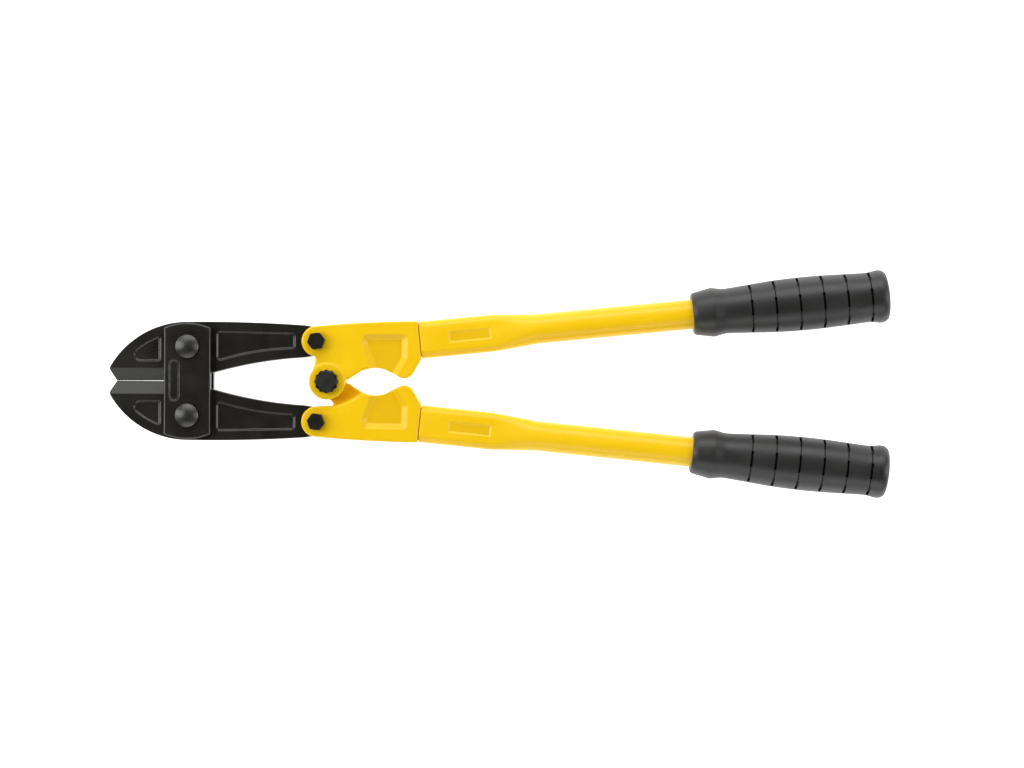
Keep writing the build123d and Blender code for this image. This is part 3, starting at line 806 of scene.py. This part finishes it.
@dataclass(frozen=True)
class GripRubber(Finish):
    """Moulded black rubber: satin and faintly dusty."""

    name: str = "grip_rubber"
    colour: Colour = (0.0075, 0.0075, 0.0068)
    pale: Colour = (0.0135, 0.0135, 0.0125)
    dusty: Colour = (0.15, 0.15, 0.145)
    specular: float = 0.65
    roughness: Span = (0.40, 0.54)
    bump: float = 0.5
    dust_share: float = 0.16

    def build(self, effects: Effects) -> bpy.types.Material:
        """The material: fine stipple, drifting sheen, thin dust.

        Args:
            effects: the shared effects.

        Returns:
            The material.
        """
        material, w, shader = self.start()
        grain = self.group(w, effects.grain, Fine=2200.0, Broad=45.0)
        dust = self.group(w, effects.dust, Size=1100.0, Cover=0.6)
        tone = w.remap(grain.outputs["Shade"], NOISE_SPAN, WHOLE)
        base = w.blend(tone, self.colour, self.pale)
        mask = w.math("MULTIPLY", dust.outputs["Mask"], self.dust_share)
        w.join(w.blend(mask, base, self.dusty), shader.inputs["Base Color"])
        w.join(w.remap(grain.outputs["Shade"], NOISE_SPAN, self.roughness), shader.inputs["Roughness"])
        self.raise_surface(w, shader, grain.outputs["Height"])
        return material


class PaintShop:
    """Every finish of the tool as a ready material."""

    def __init__(self) -> None:
        """Builds the shared effects and the materials."""
        effects = Effects()
        self.effects = effects
        self.yellow = YellowPaint().build(effects)
        # A darker yellow for the pocket and crimp floors: painted shade in the recesses.
        self.recess = YellowPaint(
            name="yellow_paint_recess", colour=(0.85, 0.52, 0.005), deep=(0.81, 0.48, 0.004)
        ).build(effects)
        self.forging = BlackForging().build(effects)
        self.blade = GroundSteel().build(effects)
        self.bolt = BlackBolt().build(effects)
        # The centre bolt in two copies of one oxide: a darker, duller one on its points and sides as
        # painted shade, a lighter one on its flat top as painted light.
        self.bolt_points = BlackBolt(
            name="black_bolt_points", colour=(0.004, 0.004, 0.004), pale=(0.009, 0.009, 0.008),
            rubbed=(0.03, 0.03, 0.028), specular=0.2,
        ).build(effects)
        self.bolt_face = BlackBolt(
            name="black_bolt_face", colour=(0.020, 0.0195, 0.017), pale=(0.034, 0.033, 0.028)
        ).build(effects)
        self.rubber = GripRubber().build(effects)
        # A darker, duller rubber for the grooves and slots: painted shade in the grooves.
        self.groove = GripRubber(
            name="grip_groove", colour=(0.0035, 0.0035, 0.0035), pale=(0.007, 0.007, 0.007),
            specular=0.2,
        ).build(effects)

    def turned(self, name: str, centre: Point) -> bpy.types.Material:
        """Turned steel with its rings about one bolt's axis."""
        return TurnedBolt(name=name, centre=centre).build(self.effects)


# ------------------------------------------------------------------- pieces


def hand_over(piece: bpy.types.Object, body: str, replaced: Sequence[str],
              finishes: Sequence[bpy.types.Material]) -> bpy.types.Object:
    """Dresses a finished piece and ties it to the frame.

    Args:
        piece: the finished piece.
        body: the CAD body that it moves with.
        replaced: the CAD nodes that it stands for.
        finishes: its materials, in the order of its slots.

    Returns:
        The piece.
    """
    marks = [face.material_index for face in piece.data.polygons]
    piece.data.materials.clear()
    for finish in finishes:
        piece.data.materials.append(finish)
    piece.data.polygons.foreach_set("material_index", marks)
    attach(piece, body)
    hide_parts(*replaced)
    log.info("%s rides on %s, %d faces", piece.name, body, len(piece.data.polygons))
    return piece


def mark_faces(piece: bpy.types.Object, wanted: Callable[[Vector, Vector], bool]) -> None:
    """Gives the faces that a test wants the second of the piece's finishes.

    Args:
        piece: the dressed piece.
        wanted: takes a face's centre and normal.
    """
    pick_faces(piece, wanted)
    for face in piece.data.polygons:
        if face.select:
            face.material_index = 1


@dataclass
class HandleHeads:
    """The two forged yellow heads, with fork, eye, stop and pockets."""

    shop: PaintShop
    grain: float = 0.36 * MM
    relax_passes: int = 8
    rim_segments: int = 4
    face_low: float = 4.9 * MM
    face_high: float = 8.2 * MM
    face_end: float = 5.3 * MM
    taper_x: Span = (-86.0 * MM, TUBE_START[0])
    half_thick: float = 8.0 * MM
    eye_face: float = 8.9 * MM
    eye_rim: float = 0.55 * MM
    eye_tolerance: float = 0.1 * MM
    bolt_clear: float = 6.0 * MM
    rim: float = 1.1 * MM
    pocket_x: Span = (-79.0 * MM, -54.0 * MM)
    pocket_y: Span = (4.0 * MM, 26.5 * MM)
    pocket_floor: Span = (1.9 * MM, 3.0 * MM)
    relief_rim: float = 2.4 * MM
    relief_x: Span = (-96.0 * MM, -79.0 * MM)
    relief_y: Span = (6.0 * MM, 14.2 * MM)

    def build(self) -> None:
        """Makes both heads."""
        for half in Half:
            node = f"{half.word}_handle_head"
            piece = copy_of_node(node, f"{half.word}_forged_head")
            self.roll_edges(piece, half)
            round_forged(piece, self.grain, self.relax_passes)
            # The pocket floors take the darker yellow, painted shade in the pockets.
            finishes = [self.shop.yellow, self.shop.recess]
            hand_over(piece, f"{half.word}_handle", [node], finishes)
            mark_faces(piece, self.in_pocket)

    def in_pocket(self, centre: Vector, normal: Vector) -> bool:
        """Whether a face is part of a pocket's floor.

        Args:
            centre: the face's centre.
            normal: its normal.

        Returns:
            True for the floor of either pocket.
        """
        start, end = self.taper_x
        drop = (self.half_thick - self.face_end) * (centre.x - start) / (end - start)
        depth = self.half_thick - drop - abs(centre.z - MID_HEIGHT)
        level = self.pocket_floor[0] < depth < self.pocket_floor[1] and abs(normal.z) > LEVEL
        in_x = self.pocket_x[0] < centre.x < self.pocket_x[1]
        return level and in_x and self.pocket_y[0] < abs(centre.y) < self.pocket_y[1]

    def roll_edges(self, piece: bpy.types.Object, half: Half) -> None:
        """Rolls over the rims of both faces, and more so the rim above the other head's eye.

        Args:
            piece: the head, still sharp.
            half: which head it is.
        """

        def on_rim(middle: Vector, first: Vector, second: Vector) -> bool:
            """Whether an edge is on the rim of a face, clear of the bolts."""
            height = abs(middle.z - MID_HEIGHT)
            if not on_flat_rim(first, second) or not self.face_low < height < self.face_high:
                return False
            link = Vector((LINK_BOLT[0], LINK_BOLT[1] * half.value))
            clear = min((middle.xy - link).length, (middle.xy - Vector(CENTRE_BOLT)).length)
            return clear > self.bolt_clear

        def on_eye(middle: Vector, first: Vector, second: Vector) -> bool:
            """Whether an edge is on the outer rim of the raised eye."""
            height = abs(middle.z - MID_HEIGHT)
            raised = abs(height - self.eye_face) < self.eye_tolerance
            outside = (middle.xy - Vector(CENTRE_BOLT)).length > self.bolt_clear
            return raised and outside and on_flat_rim(first, second)

        def on_relief(middle: Vector, first: Vector, second: Vector) -> bool:
            """Whether an edge is on the rim above the other head's eye."""
            facing = (middle.z - MID_HEIGHT) * half.value < 0
            in_x = self.relief_x[0] < middle.x < self.relief_x[1]
            in_y = self.relief_y[0] < abs(middle.y) < self.relief_y[1]
            return facing and in_x and in_y and on_rim(middle, first, second)

        for test, width in ((on_relief, self.relief_rim), (on_rim, self.rim), (on_eye, self.eye_rim)):
            pick_edges(piece, test)

            def roll(width: float = width) -> None:
                """Rounds the picked edges."""
                bpy.ops.mesh.bevel(
                    offset=width, segments=self.rim_segments, profile=0.5, clamp_overlap=False
                )

            in_edit_mode(piece, roll, everything=False)


@dataclass
class Jaws:
    """The two forged jaws with their ground blades."""

    shop: PaintShop
    edge: float = 0.38 * MM
    bevel_top: float = 7.6 * MM
    blade_end_x: float = -189.5 * MM
    least_slope: float = 0.25

    def build(self) -> None:
        """Makes both jaws."""
        for half in Half:
            node = f"{half.word}_jaw"
            piece = copy_of_node(node, f"{half.word}_forged_jaw")
            round_machined(piece, self.edge)
            hand_over(piece, node, [node], [self.shop.forging, self.shop.blade])
            self.dress_blade(piece)

    def dress_blade(self, piece: bpy.types.Object) -> None:
        """Gives the ground faces beside the cutting edge their own finish.

        Args:
            piece: the dressed jaw.
        """

        def ground(centre: Vector, normal: Vector) -> bool:
            """Whether a face slopes down to the cutting edge."""
            sloping = self.least_slope < abs(normal.z) < LEVEL
            return abs(centre.y) < self.bevel_top and centre.x < self.blade_end_x and sloping

        mark_faces(piece, ground)


@dataclass
class SidePlates:
    """The plates in front of and behind the jaws."""

    shop: PaintShop
    edge: float = 0.3 * MM

    def build(self) -> None:
        """Makes both plates."""
        for side in Side:
            node = f"{side.value}_side_plate"
            piece = copy_of_node(node, f"{side.value}_strap")
            round_machined(piece, self.edge)
            hand_over(piece, "side_plates", [node], [self.shop.forging])


@dataclass
class HandleTubes:
    """The pressed yellow tubes."""

    shop: PaintShop
    edge: float = 0.12 * MM
    rim: float = 0.5 * MM
    rim_x: float = -44.0 * MM
    rim_turn: float = 60.0
    rim_segments: int = 3
    crimp_floor: Span = (4.15 * MM, 4.45 * MM)
    crimp_x: Span = (-32.0 * MM, -2.0 * MM)

    def build(self) -> None:
        """Makes both tubes."""
        for half in Half:
            node = f"{half.word}_handle_tube"
            piece = copy_of_node(node, f"{half.word}_pressed_tube")
            self.roll_rim(piece)
            round_machined(piece, self.edge, segments=2)
            # The crimp floors take the darker yellow, painted shade in the crimps.
            finishes = [self.shop.yellow, self.shop.recess]
            hand_over(piece, f"{half.word}_handle", [node], finishes)
            mark_faces(piece, self.in_crimp)

    def roll_rim(self, piece: bpy.types.Object) -> None:
        """Rounds the tube's front rim.

        Args:
            piece: the tube, still sharp.
        """

        def on_rim(middle: Vector, first: Vector, second: Vector) -> bool:
            """Whether an edge is a sharp one at the tube's front end."""
            return middle.x < self.rim_x and first.angle(second) > radians(self.rim_turn)

        def roll() -> None:
            """Rounds the picked edges."""
            bpy.ops.mesh.bevel(
                offset=self.rim, segments=self.rim_segments, profile=0.5, clamp_overlap=False
            )

        pick_edges(piece, on_rim)
        in_edit_mode(piece, roll, everything=False)

    def in_crimp(self, centre: Vector, normal: Vector) -> bool:
        """Whether a face is the floor of a crimp.

        Args:
            centre: the face's centre.
            normal: its normal.

        Returns:
            True for the floor of either crimp.
        """
        low, high = self.crimp_floor
        level = low < abs(centre.z - MID_HEIGHT) < high and abs(normal.z) > LEVEL
        return level and self.crimp_x[0] < centre.x < self.crimp_x[1]


# The grip's skin, as (distance from its front, radius) in millimetres.
SKIN_KNOTS = (
    (0.0, 11.3), (0.35, 11.9), (1.1, 12.2), (6.0, 13.16), (10.8, 14.06), (11.6, 14.18), (12.4, 14.08),
    (16.9, 13.2), (18.0, 13.02), (19.2, 12.95), (21.5, 13.06), (28.0, 13.5), (37.0, 14.2),
    (46.0, 14.88), (55.0, 15.25), (66.0, 15.45), (76.0, 15.3), (86.0, 14.9), (94.0, 14.55),
    (99.5, 14.33), (102.0, 14.35), (104.5, 14.65), (107.0, 15.2), (108.6, 15.3), (110.5, 14.95),
    (112.2, 13.7), (113.0, 11.4),
)
# Where the skin has a ring of points between its grooves, in millimetres from its front.
SKIN_STATIONS = (
    0.0, 0.35, 1.1, 3.5, 6.0, 8.4, 10.8, 11.6, 12.4, 14.6, 16.9, 18.0, 19.2, 20.3, 21.5, 25.0, 28.0,
    30.5, 37.0, 40.5, 43.5, 51.0, 54.3, 57.5, 64.5, 68.0, 71.5, 78.5, 82.0, 85.0, 92.0, 95.5, 99.0,
    104.5, 105.7, 107.0, 107.8, 108.6, 109.6, 110.5, 111.4, 112.2, 112.7, 113.0,
)


@dataclass
class Grips:
    """The moulded grips, with ring grooves that widen into six slots each."""

    shop: PaintShop
    tube_angle: float = 5.7
    grip_start: float = 157.9 * MM
    length: float = 113.73 * MM
    bore: float = 8.65 * MM
    bore_floor: float = 101.0 * MM
    mouth_depth: float = 0.4 * MM
    mouth_flare: float = 0.5 * MM
    wall: float = 1.0 * MM
    end_points: tuple[Span, Span] = ((9.0 * MM, 0.46 * MM), (5.0 * MM, 0.1 * MM))
    edge: float = 0.16 * MM
    edge_angle: float = 40.0
    rings: int = 6
    first_ring: float = 33.6 * MM
    ring_step: float = 13.76 * MM
    groove: float = 0.5 * MM
    slot_width: float = 1.35 * MM
    slot_depth: float = 1.9 * MM
    groove_depth: float = 0.6 * MM
    groove_share: float = 0.35 * MM
    slot_margin: float = 0.5 * MM
    station_gap: float = 0.45 * MM
    steps: int = 96
    slots_round: int = 6
    slot_share: float = 0.62
    slot_turn: float = -1.6

    def outer(self, at: float) -> float:
        """Radius of the grip's skin at a distance from its front.

        Args:
            at: the distance from the grip's front.

        Returns:
            The radius, in metres.
        """
        place = at / MM
        for (start, low), (end, high) in zip(SKIN_KNOTS, SKIN_KNOTS[1:]):
            if place <= end:
                share = (place - start) / (end - start)
                return (low + (high - low) * share) * MM
        return SKIN_KNOTS[-1][1] * MM

    def profile(self) -> list[tuple[float, float]]:
        """The lathe outline, from the bore's floor round the mouth and skin to the closed end.

        Returns:
            (radius, distance from the front) points, in metres.
        """
        centres = [self.first_ring + number * self.ring_step for number in range(self.rings)]
        stations: set[float] = set()
        for centre in centres:
            half_slot = self.slot_width / 2
            for offset in (half_slot + self.slot_margin, half_slot, self.groove / 2):
                stations.update((centre - offset, centre + offset))
        for at in SKIN_STATIONS:
            if all(abs(at * MM - station) > self.station_gap for station in stations):
                stations.add(at * MM)
        skin = [(self.outer(at), at) for at in sorted(stations)]
        inside = [
            (0.0, self.bore_floor), (self.bore, self.bore_floor),
            (self.bore, self.mouth_depth), (self.bore + self.mouth_flare, 0.0),
        ]
        end = [(radius, self.length - drop) for radius, drop in self.end_points]
        return inside + skin + end + [(0.0, self.length)]

    def build(self) -> None:
        """Makes both grips."""
        for half in Half:
            piece = turned_piece(f"{half.word}_moulded_grip", self.profile(), self.steps)
            self.sink_rings(piece)
            self.mark_grooves(piece)
            round_machined(piece, self.edge, angle=self.edge_angle, segments=2)
            self.put_on_tube(piece, half)
            # The grooves take the darker rubber, painted shade in the grooves.
            finishes = [self.shop.rubber, self.shop.groove]
            hand_over(piece, f"{half.word}_handle", [f"{half.word}_grip"], finishes)

    def sink_rings(self, piece: bpy.types.Object) -> None:
        """Presses the ring grooves and their wider slots into the skin.

        Args:
            piece: the turned grip, standing at the origin.
        """
        pitch = 2 * pi / self.slots_round

        def ring_offset(at: float) -> float:
            """Distance along the grip from the middle of the nearest ring."""
            number = min(self.rings - 1, max(0, round((at - self.first_ring) / self.ring_step)))
            return abs(at - self.first_ring - number * self.ring_step)

        def in_slot(centre: Vector) -> bool:
            """Whether a place round the grip lies in a slot rather than between two."""
            turn = (atan2(centre.y, centre.x) - radians(self.slot_turn)) % pitch
            return abs(turn - pitch / 2) > pitch / 2 * (1 - self.slot_share)

        def slot_face(centre: Vector, normal: Vector) -> bool:
            """Whether a face is pressed in as part of a slot."""
            outside = centre.xy.length > self.bore + self.wall
            return outside and ring_offset(centre.z) < self.slot_width / 2 and in_slot(centre)

        def groove_face(centre: Vector, normal: Vector) -> bool:
            """Whether a face is pressed in as part of a groove between two slots."""
            outside = centre.xy.length > self.bore + self.wall
            return outside and ring_offset(centre.z) < self.groove / 2 and not in_slot(centre)

        for test, depth in ((slot_face, self.slot_depth), (groove_face, self.groove_depth)):
            pick_faces(piece, test)

            def sink(depth: float = depth) -> None:
                """Presses the picked faces in."""
                bpy.ops.mesh.extrude_region_shrink_fatten(TRANSFORM_OT_shrink_fatten={"value": -depth})

            in_edit_mode(piece, sink, everything=False)

    def mark_grooves(self, piece: bpy.types.Object) -> None:
        """Gives the floors and walls of the grooves the second finish, a darker rubber that paints
        shade into them.

        Args:
            piece: the grooved grip, standing at the origin.
        """
        for finish in (self.shop.rubber, self.shop.groove):
            piece.data.materials.append(finish)
        for face in piece.data.polygons:
            reach = face.center.xy.length
            sunk = self.bore + self.wall < reach < self.outer(face.center.z) - self.groove_share
            face.material_index = int(sunk and face.center.z > self.first_ring / 2)

    def put_on_tube(self, piece: bpy.types.Object, half: Half) -> None:
        """Lays the grip along its tube.

        Args:
            piece: the finished grip, standing at the origin.
            half: which tube it goes on.
        """
        angle = radians(self.tube_angle)
        along = Vector((cos(angle), sin(angle), 0.0))
        across = Vector((-sin(angle), cos(angle), 0.0))
        up = Vector((0.0, 0.0, 1.0))
        turn = Matrix((up, across, along)).transposed().to_4x4()
        place = Matrix.Translation(Vector(TUBE_START) + along * self.grip_start)
        piece.matrix_world = place @ turn
        settle(piece)
        if half is Half.LOWER:
            piece.scale = (1, -1, 1)
            settle(piece)
        face_outwards(piece)


@dataclass
class Fasteners:
    """Bolts, nuts and washers."""

    shop: PaintShop
    edge: float = 0.22 * MM
    top_depth: float = 0.02 * MM
    top_level: float = 0.99

    def worked(self, node: str, name: str, body: str, slot: str,
               *finishes: bpy.types.Material) -> bpy.types.Object:
        """One fastener with its edges rounded.

        Args:
            node: the CAD node that it stands for.
            name: the new piece's name.
            body: the CAD body that it moves with.
            slot: the record's material slot; not used.
            finishes: its materials.

        Returns:
            The fastener.
        """
        piece = copy_of_node(node, name)
        round_machined(piece, self.edge, segments=2, clamp=True)
        return hand_over(piece, body, [node], finishes)

    def build(self) -> None:
        """Makes every fastener."""
        for half in Half:
            word = half.word
            low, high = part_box(f"{word}_jaw_bolt")
            centre = (low + high) / 2
            turned = self.shop.turned(f"{word}_turned_bolt", (centre.x, centre.y, high.z))
            self.worked(f"{word}_jaw_bolt", f"{word}_dome_bolt", "side_plates", "blued_steel", turned)
            for kind in ("nut", "washer"):
                node = f"{word}_jaw_bolt_{kind}"
                self.worked(node, f"{word}_jaw_{kind}", "side_plates", "blued_steel", self.shop.bolt)
            for kind in ("bolt", "bolt_nut", "bolt_washer"):
                node = f"{word}_link_{kind}"
                self.worked(node, f"{node}_finished", f"{word}_handle", "black_bolt", self.shop.bolt)
        for kind in ("bolt_nut", "bolt_washer"):
            node = f"centre_{kind}"
            self.worked(node, f"{node}_finished", "upper_handle", "black_bolt", self.shop.bolt)
        # Points and sides take the painted shade, the flat top the painted light.
        finishes = (self.shop.bolt_points, self.shop.bolt_face)
        bolt = self.worked(
            "centre_bolt", "centre_bolt_finished", "upper_handle", "black_bolt", *finishes
        )
        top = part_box("centre_bolt")[1].z

        def on_top(centre: Vector, normal: Vector) -> bool:
            """Whether a face is the bolt's flat top, which takes the painted light."""
            return centre.z > top - self.top_depth and normal.z > self.top_level

        mark_faces(bolt, on_top)


# -------------------------------------------------------------------- stage


@dataclass(frozen=True)
class SoftBox:
    """An area lamp: its name, place, size, and its share of the side light's power."""

    name: str
    place: Point
    size: Span
    share: float


@dataclass
class Stage:
    """Floor, soft light and camera."""

    camera_height: float = 1300 * MM
    camera_x: float = 7.2 * MM
    camera_y: float = -0.98 * MM
    camera_roll: float = 0.26
    lens: float = 79.2
    sensor_width: float = 36.0
    near_clip: float = 10 * MM
    floor_size: float = 6.0
    floor_drop: float = 0.2 * MM
    floor_colour: Colour = (0.86, 0.86, 0.86)
    floor_roughness: float = 0.9
    floor_specular: float = 0.1
    floor_glow: float = 0.95
    tent_side: float = 1.2
    tent_top: float = 0.05
    tent_fade: Span = (0.3, 0.64)
    side_light: float = 16.3
    boxes: tuple[SoftBox, ...] = (
        SoftBox("left_box", (-1.5, 0.25, 1.0), (1.0, 1.8), 1.5),
        SoftBox("right_box", (1.6, 0.0, 0.9), (0.9, 1.6), 0.9),
        SoftBox("far_box", (0.0, 1.5, 1.0), (2.4, 0.9), 1.6),
        SoftBox("near_box", (0.0, -1.6, 0.9), (2.4, 0.8), 0.9),
    )

    def build(self) -> None:
        """Makes the whole stage."""
        self.floor()
        self.world()
        self.lamps()
        self.camera()

    def floor(self) -> None:
        """A plain pale table."""
        deselect_all()
        bpy.ops.mesh.primitive_plane_add(size=self.floor_size, location=(0, 0, -self.floor_drop))
        table = bpy.context.object
        table.name = "table"
        settle(table)
        material = bpy.data.materials.new("pale_table")
        material.use_nodes = True
        shader = material.node_tree.nodes["Principled BSDF"]
        shader.inputs["Base Color"].default_value = (*self.floor_colour, 1.0)
        shader.inputs["Roughness"].default_value = self.floor_roughness
        shader.inputs["Specular IOR Level"].default_value = self.floor_specular
        shader.inputs["Emission Color"].default_value = (1, 1, 1, 1)
        shader.inputs["Emission Strength"].default_value = self.floor_glow
        table.data.materials.append(material)

    def world(self) -> None:
        """A light tent: bright walls, a dim roof."""
        world = bpy.data.worlds.new("studio")
        world.use_nodes = True
        w = Wiring(world.node_tree)
        background = world.node_tree.nodes["Background"]
        parts = w.add("ShaderNodeSeparateXYZ")
        w.join(w.add("ShaderNodeTexCoord").outputs["Generated"], parts.inputs[0])
        low, high = self.tent_fade
        glow = w.remap(parts.outputs["Z"], (low, high), (self.tent_side, self.tent_top))
        w.join(glow, background.inputs["Strength"])
        bpy.context.scene.world = world

    def lamps(self) -> None:
        """Four soft boxes round the table that look at the tool."""
        for box in self.boxes:
            light = bpy.data.lights.new(box.name, "AREA")
            light.shape = "RECTANGLE"
            light.size, light.size_y = box.size
            light.energy = self.side_light * box.share
            lamp = bpy.data.objects.new(box.name, light)
            lamp.location = box.place
            lamp.rotation_euler = (-Vector(box.place)).to_track_quat("-Z", "Y").to_euler()
            bpy.context.scene.collection.objects.link(lamp)

    def camera(self) -> None:
        """Looks straight down on the tool."""
        data = bpy.data.cameras.new("camera")
        data.lens = self.lens
        data.sensor_width = self.sensor_width
        data.clip_start = self.near_clip
        camera = bpy.data.objects.new("camera", data)
        camera.location = (self.camera_x, self.camera_y, MID_HEIGHT + self.camera_height)
        camera.rotation_euler = (0, 0, radians(self.camera_roll))
        bpy.context.scene.collection.objects.link(camera)
        bpy.context.scene.camera = camera
        bpy.context.scene.view_settings.view_transform = "Standard"


def main() -> None:
    """Builds the tool, sub-assembly by sub-assembly, and its stage."""
    logging.basicConfig(level=logging.INFO, format="%(name)s: %(message)s")
    Stage().build()
    shop = PaintShop()
    for assembly in (SidePlates, Jaws, HandleHeads, HandleTubes, Grips, Fasteners):
        log.info("building %s", assembly.__name__)
        assembly(shop).build()


if __name__ == "__main__":
    main()
